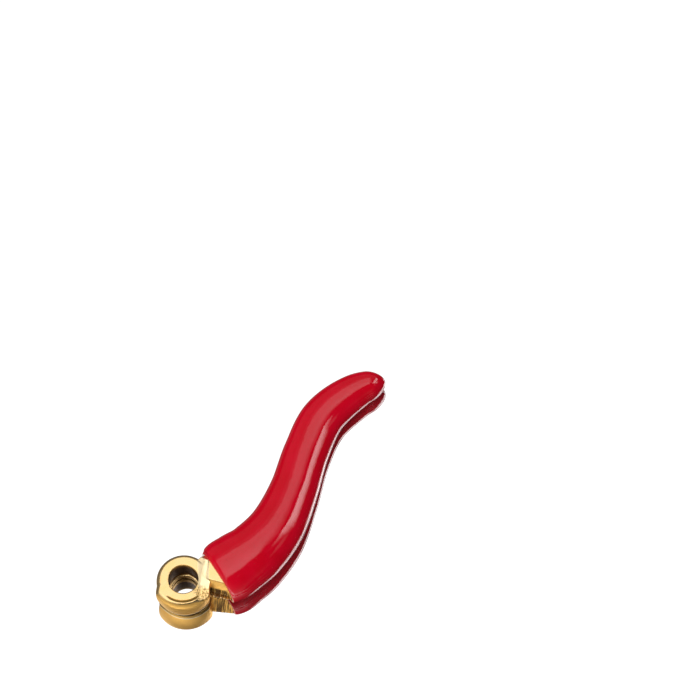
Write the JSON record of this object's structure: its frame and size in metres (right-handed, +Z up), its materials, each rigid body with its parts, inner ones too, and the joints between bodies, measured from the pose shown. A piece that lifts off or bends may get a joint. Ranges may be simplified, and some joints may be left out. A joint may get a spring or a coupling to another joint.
{
  "type": "chili pepper pendant",
  "caption": "Small chili pepper pendant: a cast metal body with a thick round eye ring, and a hard glossy red coat round its S-curved pepper.",
  "frame": {"origin": "on the axis of the eye's bore, at the eye's mid height", "axes": "+X from the eye to the pepper's tip, +Y to the left of it, +Z up along the bore's axis, away from the surface it lies on"},
  "size_m": [0.0242, 0.0075, 0.0028],
  "materials": {
    "gold_metal": "polished gold-coloured plating on cast steel",
    "red_enamel": "glossy cold enamel"
  },
  "bodies": {
    "root": {"metal_body": "gold_metal", "enamel_coat": "red_enamel"}
  },
  "joints": []
}
